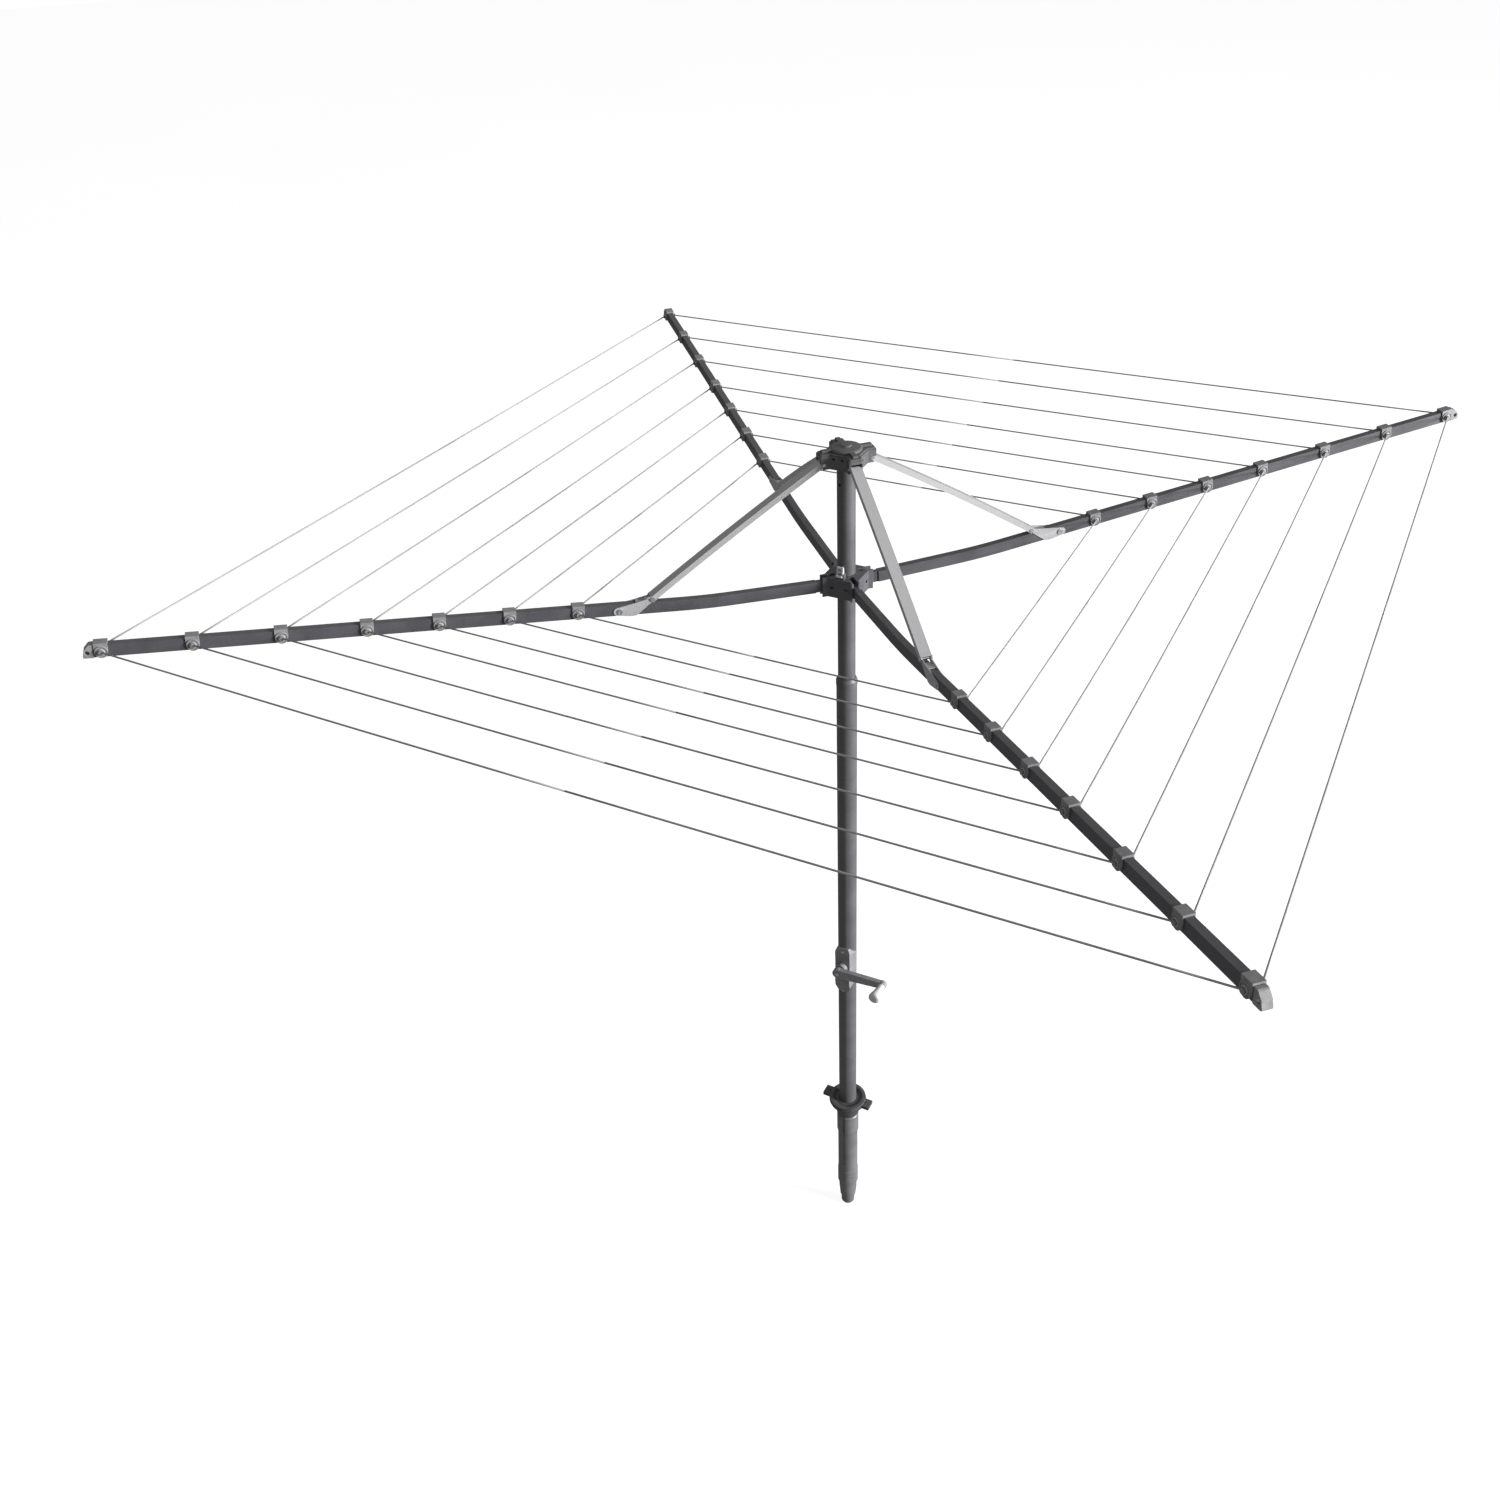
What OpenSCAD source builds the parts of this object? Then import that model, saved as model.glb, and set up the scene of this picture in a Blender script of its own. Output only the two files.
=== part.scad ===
// Rotary clothesline: a mast in a ground socket, a crank that winds the head up and down, and
// four folding arms that carry square rings of line. Arms lie along +X, +Y, -X and -Y, and
// z = 0 is the ground, under the socket's flange.

/* [Mast] */
// Outside diameter of the outer mast tube
mast_d = 55; // [48:1:70]
// Wall of the outer mast tube
mast_wall = 2; // [1.5:0.1:3]
// How far the outer mast tube's top stands below the arm pivots
mast_drop = 301; // [280:1:400]
// Depth of the outer mast tube's foot below the ground
mast_depth = 385; // [300:5:420]
// Gap between the head tube and the outer tube's bore, each side
tube_gap = 2.5; // [1.5:0.1:4]
// Wall of the sliding head tube
head_wall = 1.8; // [1.5:0.1:3]

/* [Ground socket] */
// Depth of the socket's pointed end below the ground
socket_depth = 500; // [470:5:600]
// Wall of the plastic socket
socket_wall = 4.2; // [3:0.1:6]
// Radius of the flange that rests on the ground
flange_r = 56; // [50:1:70]
// How far the locking ring's tabs reach from the mast's axis
tab_reach = 80; // [70:1:95]

/* [Winder] */
// Height of the crank shaft above the ground
crank_z = 620; // [540:5:760]
// Length of the crank arm, shaft to knob
crank_len = 143; // [110:1:170]
// Distance from the mast's surface to the crank arm's inner face
crank_gap = 30.5; // [26:0.5:45]
// Length of the crank knob
knob_len = 60; // [50:1:70]
// Radius of the lead screw's thread crest
screw_r = 9; // [8:0.5:11]
// Pitch of the lead screw's thread
screw_pitch = 6; // [6:1:10]
// Teeth on each bevel gear
gear_teeth = 14; // [12:2:16]

/* [Head] */
// Height of the arm pivots in the runner, above the ground
runner_pivot_z = 1901; // [1550:1:2300]
// Height of the strut pivots in the top hub above the arm pivots
hub_rise = 327; // [300:1:400]
// Length of head tube inside the outer tube, down to the lift nut
tube_overlap = 360; // [300:5:420]

/* [Arms] */
// Radius at which the outermost line is clipped
line_r = 1723.5; // [1450:0.5:1900]
// Width of an arm
arm_w = 18; // [15:0.5:22]
// Height of an arm
arm_h = 29; // [24:0.5:32]
// Wall of an arm
arm_wall = 1.6; // [1.2:0.1:2.5]
// Slope of an arm's inner part in degrees
inner_slope = 2.6; // [1:0.1:4]
// Slope of an arm's outer part in degrees
outer_slope = 6.52; // [4:0.1:8]
// Radius at which the innermost line is clipped
inner_line_r = 682.2; // [640:0.1:760]
// How much wider the gaps between the outer lines are than between the inner ones
gap_ratio = 1.15; // [1:0.05:1.3]
// Diameter of the line
line_d = 4; // [3:0.5:5]

/* [Struts] */
// Radius from the mast's axis to the strut's lower pivot
shoe_pivot_r = 500; // [470:1:520]
// Height of the strut's lower pivot above the arm pivots
shoe_rise = 55; // [50:1:62]
// Radius of the rivet that fixes the shoe to the arm
rivet_at = 582; // [570:1:590]
// Depth of the strut's channel
strut_h = 14; // [12:0.5:16]
// Thickness of the strut's sheet
strut_wall = 1.5; // [1.2:0.1:2]
// Radius of the strut's gentle bow
bow_r = 9000; // [4000:100:12000]

/* [Hidden] */
$fn = 64;

// Clearances
fit = 0.05;             // radial clearance of every pin, shaft and sliding fit
slip = 0.4;             // clearance between flat faces that pass each other
over = 1;               // how far a cutting shape runs past the face that it cuts

// Heights
hub_pivot_z = runner_pivot_z + hub_rise;
shoe_pivot_z = runner_pivot_z + shoe_rise;
mast_top = runner_pivot_z - mast_drop;
head_foot_z = mast_top - tube_overlap;

// Mast
mast_r = mast_d / 2;
mast_bore = mast_r - mast_wall;
head_r = mast_bore - tube_gap;
head_bore = head_r - head_wall;
bush_h = 22;            // height of the bush's lip above the outer tube
bush_drop = 45;         // depth of the bush inside the outer tube
foot_h = 60;            // length of the guide at the head tube's foot
winder_dir = -135;      // bearing of the crank, between two arms

// Ground socket
socket_bore = mast_r + 0.3;
socket_r = socket_bore + socket_wall;
flange_t = 6;
collar_len = 45;
collar_r = socket_r + 3.6;
ring_z = flange_t + 0.3;
ring_h = 15;
tab_w = 35;
plug_r = socket_bore - 6;
groove_low = -285;      // height of the foot of the socket's grooves

// Winder
shaft_r = 5;
gear_out = 14;          // pitch radius of each bevel gear at its big end, and its distance
gear_in = 7;            // from the shafts' crossing; the teeth run in to gear_in
tooth_up = 1.1;
tooth_down = 2;
gear_hub = 7;           // length of the plain hub behind a gear's teeth
bearing_z = crank_z + gear_out + gear_hub + 1;
bearing_h = 10;
thread_low = bearing_z + bearing_h + 2;
screw_top = head_foot_z + 300;
thread_deep = 1.6;
nut_h = 30;
housing_top = crank_z + 69;
housing_low = crank_z - 105;
housing_w = 46;         // width of the housing's front
housing_foot = 14;      // half the width of the shield at its foot, and nearly so at its top
boss_r = 17;
crank_off = mast_r + crank_gap;
boss_out = crank_off - 6;
crank_t = 14;
crank_tilt = 4;         // how far the crank arm stands above level, in degrees
knob_pin_r = 4;
cover_t = 2.5;
cover_w = 24;
cover_h = 38;
cover_z = housing_low + 14;
screw_heights = [housing_low + 4, housing_top - 10];
screw_pin_r = 2;
screw_head_r = 3.6;

// Hub and runner
sleeve_r = head_r + 7;
runner_pivot_r = sleeve_r + arm_h / 2 + 1.5;
hub_pivot_r = runner_pivot_r + 16;
body_w = head_r + 24.5; // from the axis to the hub's and runner's flat walls
lug_reach = runner_pivot_r + 25;
runner_reach = lug_reach - 4;
hub_low = hub_pivot_z - 11;
hub_top = hub_pivot_z + 25;
hub_screw_z = hub_top - 10;
runner_low = runner_pivot_z - 26;
runner_top = runner_pivot_z + 26;
skirt_low = runner_pivot_z - 34;
skirt_r = head_r + 14;
pin_r = 4;
tongue_w = arm_w * 2 / 3;
ear_t = 5;
runner_lug = tongue_w + 2 * slip + 2 * ear_t;
latch_r = head_r + 13;
latch_z = runner_top + 9;
latch_w = 17;
nose_z = latch_z + 14;
nose_r = 3;

// Struts, arms and shoes
shoe_in = arm_w / 2 + 0.3;
shoe_t = 2;
strut_in = max(shoe_in + shoe_t, runner_lug / 2) + 0.5;
strut_out = strut_in + strut_wall;
hub_slot = strut_out + slip;
hub_lug = hub_slot + 4.5;
hinge_r = 3.5;
strut_dr = shoe_pivot_r - hub_pivot_r;
strut_dz = hub_pivot_z - shoe_pivot_z;
strut_len = sqrt(strut_dr * strut_dr + strut_dz * strut_dz);
strut_drop = atan2(strut_dz, strut_dr);
bow = asin(strut_len / 2 / bow_r);
bow_steps = 20;
neck_u = norm([lug_reach - runner_pivot_r, runner_pivot_z - runner_low]) + 1;
bend_r = 2000;
bend_len = bend_r * (outer_slope - inner_slope) * PI / 180;
bend_steps = 8;
bend_start = 319 - bend_len / 2;
// the end of the bend, along the arm and up from its root
function elbow() = [bend_start + bend_r * sin(outer_slope - inner_slope),
    bend_r * (1 - cos(outer_slope - inner_slope))];
bend_end_r = runner_pivot_r + elbow()[0] * cos(inner_slope) - elbow()[1] * sin(inner_slope);
bend_end_z = runner_pivot_z + elbow()[0] * sin(inner_slope) + elbow()[1] * cos(inner_slope);
// height of an arm's centre line at radius r, on its straight outer part
function arm_z(r) = bend_end_z + (r - bend_end_r) * tan(outer_slope);
arm_end_r = line_r + 15.5;
outer_len = (arm_end_r - bend_end_r) / cos(outer_slope);
inner_gap = (line_r - inner_line_r) / 3 / (1 + gap_ratio);
outer_gap = inner_gap * gap_ratio;
function clip_r(k) = line_r - (k < 4 ? k * outer_gap : 3 * outer_gap + (k - 3) * inner_gap);
clip_len = 29;
clip_wall = 3;
clip_rise = 5;
cheek_r = 14;
boss_end = arm_w / 2 + 8; // distance from the arm's mid-plane to where a line leaves its clip
eye_r = 5;
eye_drop = 3;           // how far the cap's hole lies below the arm's centre line
cap_len = 23;
rivet_r = 4;

// ---------------------------------------------------------------- helpers

// Stands its children on arm n: 1 is +X, then anticlockwise
module on_arm(n) rotate([0, 0, 90 * (n - 1)]) children();

// Turns its children so that +X points the way of the crank
module at_winder() rotate([0, 0, winder_dir]) children();

// A plate whose outline is drawn in radius and height, from y0 to y1 across
module plate(y0, y1) translate([0, y1, 0]) rotate([90, 0, 0]) linear_extrude(y1 - y0) children();

// The same plate on both sides of the mid-plane
module plates(y0, y1) {
    plate(y0, y1) children();
    plate(-y1, -y0) children();
}

// A bar across the arm at radius r and height z
module cross_bar(r, z, radius, half) translate([r, half, z]) rotate([90, 0, 0])
    cylinder(r = radius, h = 2 * half);

module ring(outer, inner, low, high) translate([0, 0, low]) difference() {
    cylinder(r = outer, h = high - low);
    translate([0, 0, -over]) cylinder(r = inner, h = high - low + 2 * over);
}

// ---------------------------------------------------------------- ground socket

module ground_socket() color("darkgray") difference() {
    rotate_extrude($fn = 96) polygon([
        [0, -socket_depth], [plug_r - 5, -socket_depth], [plug_r, -socket_depth + 8],
        [plug_r + 1, -socket_depth + 40], [socket_r - 6, -socket_depth + 42],
        [socket_r - 3, -socket_depth + 78], [socket_r - 2, -socket_depth + 110],
        [socket_r + 1.5, -socket_depth + 116], [socket_r + 1.5, -socket_depth + 176],
        [socket_r, -socket_depth + 180], [socket_r, -140],
        [socket_r + 3, -128], [socket_r + 3, -56], [socket_r, -52], [socket_r, flange_t],
        [0, flange_t]]);
    translate([0, 0, -mast_depth - 0.3]) cylinder(r = socket_bore, h = mast_depth + 50);
    translate([0, 0, -socket_depth - over]) cylinder(r = plug_r - 12, h = socket_depth);
    translate([0, 0, -socket_depth + 24]) cylinder(r = plug_r - 6, h = socket_depth);
    // a groove down the front and the back, with two dimples below each
    for (turn = [0, 180]) at_winder() rotate([0, 0, turn]) {
        translate([0, 0, groove_low]) linear_extrude(-groove_low - collar_len + over) polygon([
            [socket_r - 2.8, 0], [socket_r + 6, 8.8], [socket_r + 6, -8.8]]);
        for (z = [-socket_depth + 145, -socket_depth + 60]) translate([socket_r + 6.5, 0, z])
            sphere(r = 8);
    }
    // three grip slots in each side of the lower band
    for (turn = [55, 235], k = [-1:1]) at_winder() rotate([0, 0, turn])
        translate([socket_r - 1, -14, -socket_depth + 145 + 13 * k]) cube([8, 28, 4.5]);
}

module socket_collar() color("dimgray") difference() {
    rotate_extrude($fn = 96) polygon([
        [0, -collar_len], [collar_r, -collar_len], [collar_r + 2, -collar_len + 8],
        [flange_r - 8, 0], [flange_r, 0], [flange_r, flange_t], [0, flange_t]]);
    translate([0, 0, -collar_len - over])
        cylinder(r = socket_r + fit, h = collar_len + flange_t + 2 * over);
}

module socket_plug() color("black") difference() {
    translate([0, 0, -socket_depth + 20]) cylinder(r = plug_r - 12 - fit, h = 4);
    for (turn = [0:60:359]) rotate([0, 0, turn]) translate([4.5, 0, -socket_depth])
        cylinder(r = 1.5, h = 30);
}

module locking_ring() color("dimgray") difference() {
    union() {
        rotate_extrude($fn = 96) polygon([
            [0, ring_z], [flange_r + 2, ring_z], [flange_r + 4, ring_z + 4],
            [flange_r + 2, ring_z + ring_h], [mast_r + 20, ring_z + ring_h],
            [mast_r + 12, ring_z + ring_h - 7], [mast_r + 3, ring_z + ring_h - 5], [0, ring_z + 10]]);
        for (side = [-1, 1]) at_winder() translate([0, side * (tab_reach + flange_r - 6) / 2,
            ring_z + 6]) cube([tab_w, tab_reach - flange_r + 6, 12], center = true);
    }
    translate([0, 0, ring_z - over]) cylinder(r = mast_r + 0.5, h = ring_h + 2 * over);
    for (turn = [0:30:359]) rotate([0, 0, turn + 15]) translate([flange_r + 5.5, 0, ring_z - over])
        cylinder(r = 3, h = ring_h + 2 * over);
}

// ---------------------------------------------------------------- mast and winder

module mast_tube() color("darkslategray") difference() {
    ring(mast_r, mast_bore, -mast_depth, mast_top);
    at_winder() shaft_hole(shaft_r + 4, 0, mast_d);
    at_winder() screw_holes();
}

module mast_top_bush() color("dimgray") difference() {
    rotate_extrude($fn = 96) polygon([
        [0, mast_top - bush_drop], [mast_bore - fit, mast_top - bush_drop],
        [mast_bore - fit, mast_top], [mast_r + 1, mast_top], [mast_r + 1, mast_top + bush_h - 9],
        [head_r + 1.5, mast_top + bush_h], [0, mast_top + bush_h]]);
    translate([0, 0, mast_top - bush_drop - over])
        cylinder(r = head_r + fit, h = bush_drop + bush_h + 2 * over);
}

// The housing's side outline: distance from the mast's axis, and height
module housing_outline(inset) polygon([
    [0, housing_low + inset], [mast_r + 3 - inset, housing_low + inset],
    [mast_r + 12 - inset, crank_z - 60], [boss_out - 16 - inset, crank_z - boss_r],
    [boss_out - 16 - inset, crank_z + boss_r], [mast_r + 10 - inset, housing_top - 16],
    [mast_r + 3 - inset, housing_top - inset], [0, housing_top - inset]]);

// The housing's plan: it narrows from a little over the mast's width to its front
module housing_plan(inset) {
    side = housing_w / 2 - inset;
    back = mast_r + 3 - inset;
    polygon([[4, back], [mast_r + 12, side], [boss_out + 10, side],
        [boss_out + 10, -side], [mast_r + 12, -side], [4, -back]]);
}

// The housing's front: a shield with cut top corners that narrows to its foot
module housing_front(inset) {
    foot = housing_foot - inset;
    wide = mast_r + 4 - inset;
    polygon([[-foot, housing_low - over], [foot, housing_low - over], [wide, housing_low + 42],
        [wide, housing_top - 25], [foot + 2, housing_top + over], [-foot - 2, housing_top + over],
        [-wide, housing_top - 25], [-wide, housing_low + 42]]);
}

module housing_block(inset) intersection() {
    plate(-mast_d, mast_d) housing_outline(inset);
    translate([0, 0, housing_low - over]) linear_extrude(housing_top - housing_low + 2 * over)
        housing_plan(inset);
    rotate([90, 0, 90]) linear_extrude(crank_off) housing_front(inset);
}

// A cylinder of radius r that points out from the mast's axis at height z
module bar_out(z, r, from, to) translate([from, 0, z]) rotate([0, 90, 0])
    cylinder(r = r, h = to - from);

module shaft_hole(r, from, to) bar_out(crank_z, r, from, to);

module screw_holes() for (z = screw_heights) bar_out(z, screw_pin_r + fit, 0, mast_d);

// How far from the mast's axis the underside of a screw's head stands
function screw_seat(z) = mast_r + (z > crank_z ? 8 : 3.5);

module winder_housing() color("dimgray") at_winder() difference() {
    union() {
        housing_block(0);
        shaft_hole(boss_r, mast_r + 5, boss_out);
    }
    difference() {
        housing_block(3);
        shaft_hole(shaft_r + 5, 0, crank_off);
    }
    translate([0, 0, housing_low - over]) cylinder(r = mast_r + fit, h = housing_top);
    shaft_hole(shaft_r + fit, 0, crank_off);
    translate([mast_r + 3 - cover_t, -cover_w / 2, cover_z]) cube([crank_off, cover_w, cover_h]);
    screw_holes();
    for (z = screw_heights) bar_out(z, screw_head_r + slip, screw_seat(z), mast_d);
}

// A cover plate that closes the grease opening low on the housing's front
module winder_cover() color("gray") at_winder() intersection() {
    difference() {
        housing_block(0);
        housing_block(cover_t);
    }
    translate([mast_r - 2, (slip - cover_w) / 2, cover_z + slip / 2])
        cube([crank_off, cover_w - slip, cover_h - slip]);
}

module winder_screws() color("silver") at_winder() for (z = screw_heights) {
    bar_out(z, screw_pin_r, mast_r - 4, screw_seat(z) + over);
    difference() {
        bar_out(z, screw_head_r, screw_seat(z), screw_seat(z) + 2.2);
        translate([screw_seat(z) + 2.2, 0, z]) cube([2, 1, 5], center = true);
    }
}

module screw_bearing() color("silver")
    ring(mast_bore - fit, shaft_r + 1 + fit, bearing_z, bearing_z + bearing_h);

// One straight bevel gear on +Z, its apex at the origin and its big end up
module bevel_gear() {
    turn = 360 / gear_teeth;
    big = gear_out + tooth_up;
    root = gear_out - tooth_down;
    difference() {
        intersection() {
            translate([0, 0, gear_in]) linear_extrude(gear_out - gear_in, scale = gear_out / gear_in)
                scale(gear_in / gear_out) union() {
                    circle(r = root, $fn = gear_teeth * 2);
                    for (k = [0:gear_teeth - 1]) rotate([0, 0, k * turn]) polygon([
                        [root - 1, -1.6], [big, -0.7], [big, 0.7], [root - 1, 1.6]]);
                }
            translate([0, 0, gear_in - over]) cylinder(r = big + 1, h = gear_out);
        }
        translate([0, 0, -over]) cylinder(r = shaft_r, h = gear_out + 2 * over);
    }
    ring(gear_out - 5, shaft_r, gear_out - 0.5, gear_out + gear_hub);
}

module bevel_pinion() color("gold") at_winder() translate([0, 0, crank_z]) rotate([0, 90, 0])
    bevel_gear();

module crown_gear() color("gold") translate([0, 0, crank_z])
    rotate([0, 0, winder_dir + 180 / gear_teeth]) bevel_gear();

module crank_shaft() color("silver") at_winder()
    shaft_hole(shaft_r, gear_in + 1, crank_off + crank_t - 2);

module crank_arm() color("gray") at_winder() translate([crank_off, 0, crank_z]) rotate([90, 0, 90])
    difference() {
        rotate([0, 0, crank_tilt]) union() {
            cylinder(r = 17, h = crank_t);
            linear_extrude(crank_t) polygon([
                [0, -16], [crank_len, -11], [crank_len, 11], [0, 16]]);
            translate([crank_len, 0, 0]) cylinder(r = 12, h = crank_t);
        }
        translate([0, 0, -over]) cylinder(r = shaft_r, h = crank_t - 1);
        translate([0, 0, crank_t - 3]) cylinder(r = 7, h = 5);
        rotate([0, 0, crank_tilt]) translate([crank_len, 0, -over])
            cylinder(r = knob_pin_r + fit, h = crank_t + 2 * over);
    }

module crank_bolt() color("silver") at_winder() translate([crank_off + crank_t - 2, 0, crank_z])
    rotate([0, 90, 0]) difference() {
        cylinder(r = 6, h = 3.5);
        translate([0, 0, 2]) cylinder(r = 3, h = 4, $fn = 6);
    }

module at_knob() at_winder() translate([crank_off, 0, crank_z]) rotate([90, 0, 90])
    rotate([0, 0, crank_tilt]) translate([crank_len, 0, 0]) children();

module crank_knob() color("lightgray") at_knob() {
    translate([0, 0, 0.5]) cylinder(r = knob_pin_r, h = crank_t + 1);
    translate([0, 0, crank_t + slip]) rotate_extrude() polygon([
        [0, 0], [11, 0], [10.5, knob_len * 0.2], [13.5, knob_len * 0.55], [17.5, knob_len * 0.86],
        [16, knob_len * 0.95], [10, knob_len], [0, knob_len]]);
}

// Rings of the thread's true pitch and depth on a solid core
module lead_screw() color("silver") {
    translate([0, 0, crank_z + gear_in + 1]) cylinder(r = shaft_r, h = 30);
    translate([0, 0, crank_z + gear_out + gear_hub + 0.2])
        cylinder(r = shaft_r + 1, h = bearing_h + 3);
    translate([0, 0, thread_low - 1.8]) cylinder(r = screw_r, h = 8);
    rotate_extrude($fn = 48) polygon(concat(
        [[0, screw_top], [0, thread_low], [screw_r, thread_low]],
        [for (z = [thread_low + 10:screw_pitch:screw_top - 2 * screw_pitch])
            each [[screw_r, z], [screw_r - thread_deep, z + screw_pitch * 0.25],
                  [screw_r - thread_deep, z + screw_pitch * 0.5],
                  [screw_r, z + screw_pitch * 0.75]]],
        [[screw_r, screw_top - 4], [screw_r - 3, screw_top]]));
}

module lift_nut() color("gold") {
    ring(head_bore - fit, screw_r + 0.3, head_foot_z, head_foot_z + nut_h);
    ring(head_r, screw_r + 0.3, head_foot_z - 6, head_foot_z);
}

module tube_foot() color("black") difference() {
    ring(mast_bore - 0.1, head_r + fit, head_foot_z + 10, head_foot_z + 10 + foot_h);
    for (turn = [0:90:359]) rotate([0, 0, turn]) translate([mast_bore + 1, 0, head_foot_z])
        cylinder(r = 3, h = foot_h + 30);
}

// ---------------------------------------------------------------- head

module head_tube() color("darkslategray") difference() {
    ring(head_r, head_bore, head_foot_z, hub_top - 6);
    at_winder() translate([0, 0, nose_z]) rotate([0, 90, 0])
        cylinder(r = nose_r + 1.2, h = head_r + over);
    rotate([0, 0, winder_dir - 20]) translate([0, 0, hub_pivot_z - 60]) rotate([0, 90, 0])
        cylinder(r = 4, h = head_r + over);
    hub_screw_holes(2);
}

// A square whose corners point along the arms, cut to the lugs' reach
module body_plan(half, lug, reach) intersection() {
    union() {
        rotate([0, 0, 45]) square(2 * half, center = true);
        for (turn = [0, 90]) rotate([0, 0, turn]) square([2 * reach, lug], center = true);
    }
    circle(r = reach + 1, $fn = 96);
}

module hub_screw_holes(r) for (turn = [0, 180], across = [-11, 11]) at_winder()
    rotate([0, 0, turn]) translate([0, across, hub_screw_z]) rotate([0, 90, 0])
        cylinder(r = r, h = body_w + over);

// The mouth of a strut pin's seat: open outwards and downwards, between two directions
module seat_mouth() {
    half = pin_r + 0.1;
    up = -2;
    down = -52;
    circle(r = pin_r + 0.3);
    polygon([[0, 0], [-half * sin(up), half * cos(up)],
        [-half * sin(up) + 40 * cos(up), half * cos(up) + 40 * sin(up)],
        [half * sin(down) + 40 * cos(down), -half * cos(down) + 40 * sin(down)],
        [half * sin(down), -half * cos(down)]]);
}

module top_hub() color("dimgray") difference() {
    union() {
        translate([0, 0, hub_low]) linear_extrude(hub_top - hub_low - 4)
            body_plan(body_w, 2 * hub_lug, lug_reach);
        translate([0, 0, hub_top - 6]) linear_extrude(6)
            body_plan(body_w - 3, 2 * hub_lug - 6, lug_reach - 3);
    }
    translate([0, 0, hub_low - over]) cylinder(r = head_r + fit, h = hub_top - hub_low - 5);
    for (n = [1:4]) on_arm(n) {
        translate([hub_pivot_r - 12.5, -hub_slot, hub_low - over])
            cube([40, 2 * hub_slot, hub_pivot_z + 13 - hub_low + over]);
        plate(-hub_lug - over, hub_lug + over) translate([hub_pivot_r, hub_pivot_z]) seat_mouth();
    }
    // a pocket for the latch when the runner comes up under the hub
    at_winder() translate([head_r - 2, -latch_w / 2 - 4, hub_low - over])
        cube([23, latch_w + 8, hub_pivot_z - hub_low + 2]);
    hub_screw_holes(2 + fit);
    for (turn = [0, 180], across = [-11, 11]) at_winder() rotate([0, 0, turn])
        translate([body_w - 3, across, hub_screw_z]) rotate([0, 90, 0]) cylinder(r = 4.2, h = 5);
}

module hub_cap() color("gray") {
    cap_r = head_r + 16;
    translate([0, 0, hub_top + 0.05]) rotate_extrude($fn = 96) polygon([
        [0, 0], [cap_r, 0], [cap_r, 4], [cap_r - 4, 7], [14, 9], [12, 12], [0, 12.5]]);
    for (turn = [0, 90]) rotate([0, 0, turn]) translate([0, 0, hub_top + 3.05])
        cube([2 * lug_reach - 16, 12, 6], center = true);
}

module hub_screws() color("silver") for (turn = [0, 180], across = [-11, 11]) at_winder()
    rotate([0, 0, turn]) translate([0, across, hub_screw_z]) rotate([0, 90, 0]) {
        translate([0, 0, head_bore - 3]) cylinder(r = 2, h = body_w - 2.9 - head_bore + 3);
        translate([0, 0, body_w - 2.9]) difference() {
            cylinder(r = 4, h = 2.6);
            translate([0, 0, 1.6]) cylinder(r = 2, h = 2, $fn = 6);
        }
    }

module runner() color("dimgray") difference() {
    union() {
        translate([0, 0, runner_low]) linear_extrude(runner_top - runner_low)
            body_plan(body_w - 1, runner_lug, runner_reach);
        translate([0, 0, skirt_low]) rotate_extrude($fn = 96) polygon([
            [0, 0], [skirt_r - 4, 0], [skirt_r, 4], [skirt_r + 6, 12], [0, 12]]);
        for (side = [-1, 1]) at_winder() translate([latch_r - 7, side * (latch_w / 2 + 1.9) - 1.5,
            runner_top - over]) cube([14, 3, 13.5 + over]);
    }
    translate([0, 0, skirt_low - over]) cylinder(r = head_r + fit, h = 90);
    for (n = [1:4]) on_arm(n) {
        translate([sleeve_r, -tongue_w / 2 - slip, skirt_low - over])
            cube([60, tongue_w + 2 * slip, runner_top - skirt_low + 2 * over]);
        cross_bar(runner_pivot_r, runner_pivot_z, pin_r, lug_reach);
    }
    at_winder() cross_bar(latch_r, latch_z, 2, latch_w);
}

module arm_pins() color("silver") for (n = [1:4]) on_arm(n)
    cross_bar(runner_pivot_r, runner_pivot_z, pin_r, runner_lug / 2);

// A sprung lever whose nose drops into the head tube's hole
module latch_lever() color("lightgray") at_winder() difference() {
    union() {
        plate(-latch_w / 2, latch_w / 2) translate([latch_r, latch_z]) {
            circle(r = 5.5);
            polygon([[-5.5, 0], [5.5, 0], [2.5, 21], [-3, 21]]);
        }
        translate([head_r + 0.3, 0, nose_z]) rotate([0, 90, 0])
            cylinder(r = nose_r, h = latch_r - head_r);
        translate([latch_r + 4, -latch_w / 2, latch_z - 3]) cube([7, latch_w, 5]);
    }
    cross_bar(latch_r, latch_z, 2 + fit, latch_w);
    translate([latch_r - 7, -5, latch_z - 7]) cube([14.5, 10, 14]);
    translate([latch_r - over, -5, latch_z + 11]) cube([10, 10, 6]);
}

module latch_pin() color("silver") at_winder() cross_bar(latch_r, latch_z, 2, latch_w / 2 + 3.4);

module latch_spring() color("silver") at_winder() for (k = [-3:3])
    translate([latch_r, k * 1.2, latch_z]) rotate([90, 0, 0])
        rotate_extrude() translate([3, 0]) circle(r = 0.55, $fn = 16);

// ---------------------------------------------------------------- arms

// A point of the bend: the share of the bend that lies behind it, and its height off the centre line
function bend_point(share, up) = [
    bend_start + (bend_r - up) * sin(share * (outer_slope - inner_slope)),
    bend_r - (bend_r - up) * cos(share * (outer_slope - inner_slope))];

// A point of the straight outer part, at a distance past the bend
function outer_point(past, up) = bend_point(1, up)
    + past * [cos(outer_slope - inner_slope), sin(outer_slope - inner_slope)];

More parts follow.
